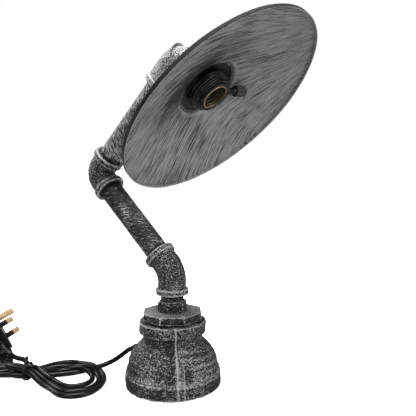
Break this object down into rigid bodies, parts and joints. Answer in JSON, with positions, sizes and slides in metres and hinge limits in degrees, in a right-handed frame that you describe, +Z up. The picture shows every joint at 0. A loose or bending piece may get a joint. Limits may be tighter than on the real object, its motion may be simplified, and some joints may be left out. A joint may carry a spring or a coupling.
{
  "type": "table lamp",
  "caption": "Table lamp built of screwed pipe, elbows and a reducing socket foot, with a shallow flared shade, a switched lampholder and a coiled cord with a plug.",
  "frame": {"origin": "centre of the underside of the foot's pad", "axes": "+Z up along the foot's axis; -Y is the front that the picture shows, +X to its right; the cord leaves the foot towards -X and +Y"},
  "size_m": [0.4524, 0.2984, 0.3924],
  "materials": {
    "foot_pad": "matt foam sheet",
    "foot_iron": "black paint dry-brushed with dull silver",
    "fitting_iron": "grainy black paint with worn bright edges",
    "pipe_paint": "black paint with fine brushed silver streaks",
    "shade_paint": "spun steel, dark paint brushed with long silver streaks",
    "plain_steel": "zinc plated",
    "brass_parts": "satin",
    "pin_brass": "bright, lightly scratched",
    "holder_ceramic": "unglazed white",
    "black_plastic": "moulded, satin black",
    "knob_plastic": "moulded, fluted, satin black",
    "cord_cover": "soft black sheath with a slight sheen",
    "wire_cover": "green and yellow insulation",
    "tie_plastic": "flat black ribbon over wire",
    "plug_plastic": "moulded black, satin gloss"
  },
  "bodies": {
    "base": {"base_pad": "foot_pad", "base_plate": "plain_steel", "base_reducer": "foot_iron", "earth_tag": "brass_parts", "earth_screw": "brass_parts", "earth_wire": "wire_cover", "octagon_bushing": "fitting_iron", "hex_nipple": "fitting_iron", "cord_gland": "black_plastic", "gland_nut": "plain_steel", "cord_inner_base": "cord_cover", "cord_lead": "cord_cover", "cord_hank": "cord_cover", "cord_tie": "tie_plastic", "cord_tail": "cord_cover", "plug_boot": "plug_plastic", "plug_body": "plug_plastic", "fuse_cover": "plug_plastic", "fuse": "holder_ceramic", "live_pin": "pin_brass", "neutral_pin": "pin_brass", "earth_pin": "pin_brass", "pin_sleeves": "plug_plastic"},
    "lower_corner": {"lower_elbow": "fitting_iron", "cord_inner_lower": "cord_cover"},
    "middle_arm": {"lower_pipe": "pipe_paint", "middle_elbow": "fitting_iron", "cord_inner_middle": "cord_cover"},
    "upper_arm": {"upper_pipe": "pipe_paint", "upper_elbow": "fitting_iron", "cord_inner_upper": "cord_cover", "shade_bush": "fitting_iron", "stem_tube": "plain_steel", "stem_nut": "plain_steel", "stem_washer": "plain_steel", "shade": "shade_paint", "shade_ring": "black_plastic", "holder_cap": "black_plastic", "holder_shell": "black_plastic", "holder_insert": "holder_ceramic", "screw_shell": "brass_parts", "centre_contact": "brass_parts", "terminal_screws": "brass_parts", "switch_body": "black_plastic", "switch_bush": "black_plastic"},
    "knob": {"switch_shaft": "brass_parts", "switch_knob": "knob_plastic", "knob_cap": "knob_plastic"}
  },
  "joints": [
    {"name": "base_swivel", "type": "hinge", "parent": "base", "child": "lower_corner", "pos_m": [0, 0, 0.1101], "axis": [0, 0, 1], "range_deg": [-170, 170]},
    {"name": "arm_swing", "type": "hinge", "parent": "lower_corner", "child": "middle_arm", "pos_m": [-0.01137, 0.00841, 0.14424], "axis": [-0.5684, 0.4206, 0.7071], "range_deg": [-60, 60]},
    {"name": "shade_swing", "type": "hinge", "parent": "middle_arm", "child": "upper_arm", "pos_m": [-0.07776, 0.05754, 0.25512], "axis": [0.5684, -0.4206, 0.7071], "range_deg": [-120, 120]},
    {"name": "switch_turn", "type": "hinge", "parent": "upper_arm", "child": "knob", "pos_m": [0.07446, -0.00947, 0.32958], "axis": [0.845, 0.532, 0.0541], "continuous": true}
  ]
}
